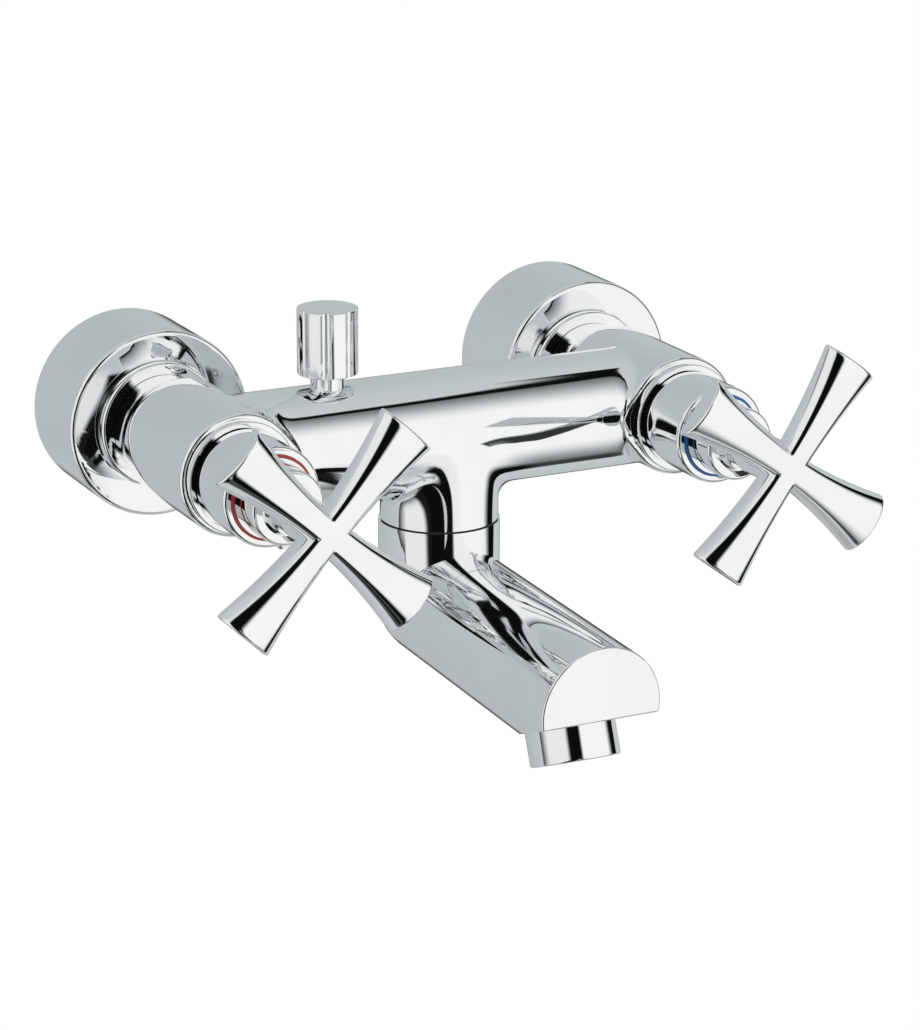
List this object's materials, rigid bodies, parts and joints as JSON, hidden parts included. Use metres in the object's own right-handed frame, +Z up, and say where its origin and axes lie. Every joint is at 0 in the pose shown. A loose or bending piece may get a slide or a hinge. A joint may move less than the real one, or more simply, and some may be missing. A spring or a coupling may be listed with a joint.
{
  "type": "wall mixer tap",
  "caption": "Wall-mounted bath and shower mixer tap: chromed body on cup covers, cross handles with hot and cold index rings, lift-up diverter knob and swivelling spout with aerator.",
  "frame": {"origin": "on the finished wall, midway between the two inlets", "axes": "+X to the right seen from the room, +Y into the wall, +Z up"},
  "size_m": [0.2173, 0.1974, 0.1251],
  "materials": {
    "chrome": "polished",
    "brass": "machined",
    "rubber": "matte",
    "steel": "satin",
    "ceramic": "lapped ceramic",
    "white_plastic": "moulded",
    "black_plastic": "moulded",
    "red_enamel": "gloss",
    "blue_enamel": "gloss"
  },
  "bodies": {
    "tap_body": {"left_wall_union": "brass", "left_union_gasket": "rubber", "left_inlet_tail": "brass", "left_union_nut": "chrome", "left_escutcheon": "chrome", "left_seat_seal": "rubber", "left_fixed_disc": "ceramic", "left_headwork": "brass", "left_valve_bezel": "chrome", "right_wall_union": "brass", "right_union_gasket": "rubber", "right_inlet_tail": "brass", "right_union_nut": "chrome", "right_escutcheon": "chrome", "right_seat_seal": "rubber", "right_fixed_disc": "ceramic", "right_headwork": "brass", "right_valve_bezel": "chrome", "mixer_body": "chrome", "diverter_bush": "chrome", "diverter_o_ring": "rubber", "diverter_seat": "chrome", "shower_check_valve": "white_plastic", "spout_nipple": "brass", "spout_o_rings": "rubber", "spout_glide_ring": "black_plastic"},
    "left_handle": {"left_handle_cross": "chrome", "left_handle_skirt": "chrome", "hot_index_ring": "red_enamel", "left_grub_screw": "steel", "left_spindle": "brass", "left_spindle_o_ring": "rubber", "left_spindle_clip": "steel", "left_moving_disc": "ceramic"},
    "right_handle": {"right_handle_cross": "chrome", "right_handle_skirt": "chrome", "cold_index_ring": "blue_enamel", "right_grub_screw": "steel", "right_spindle": "brass", "right_spindle_o_ring": "rubber", "right_spindle_clip": "steel", "right_moving_disc": "ceramic"},
    "diverter": {"diverter_knob": "chrome", "diverter_stem": "brass", "diverter_seals": "rubber"},
    "spout": {"spout": "chrome", "spout_retaining_screw": "steel", "aerator_housing": "chrome", "aerator_insert": "white_plastic", "aerator_gasket": "rubber"}
  },
  "joints": [
    {"name": "left_handle_turn", "type": "hinge", "parent": "tap_body", "child": "left_handle", "pos_m": [-0.075, -0.12, 0], "axis": [0, -1, 0], "range_deg": [0, 90]},
    {"name": "right_handle_turn", "type": "hinge", "parent": "tap_body", "child": "right_handle", "pos_m": [0.075, -0.12, 0], "axis": [0, 1, 0], "range_deg": [0, 90]},
    {"name": "diverter_lift", "type": "slide", "parent": "tap_body", "child": "diverter", "axis": [0, 0, 1], "range_m": [0, 0.008]},
    {"name": "spout_swivel", "type": "hinge", "parent": "tap_body", "child": "spout", "pos_m": [0, -0.075, -0.028], "axis": [0, 0, 1], "range_deg": [-30, 30]}
  ]
}
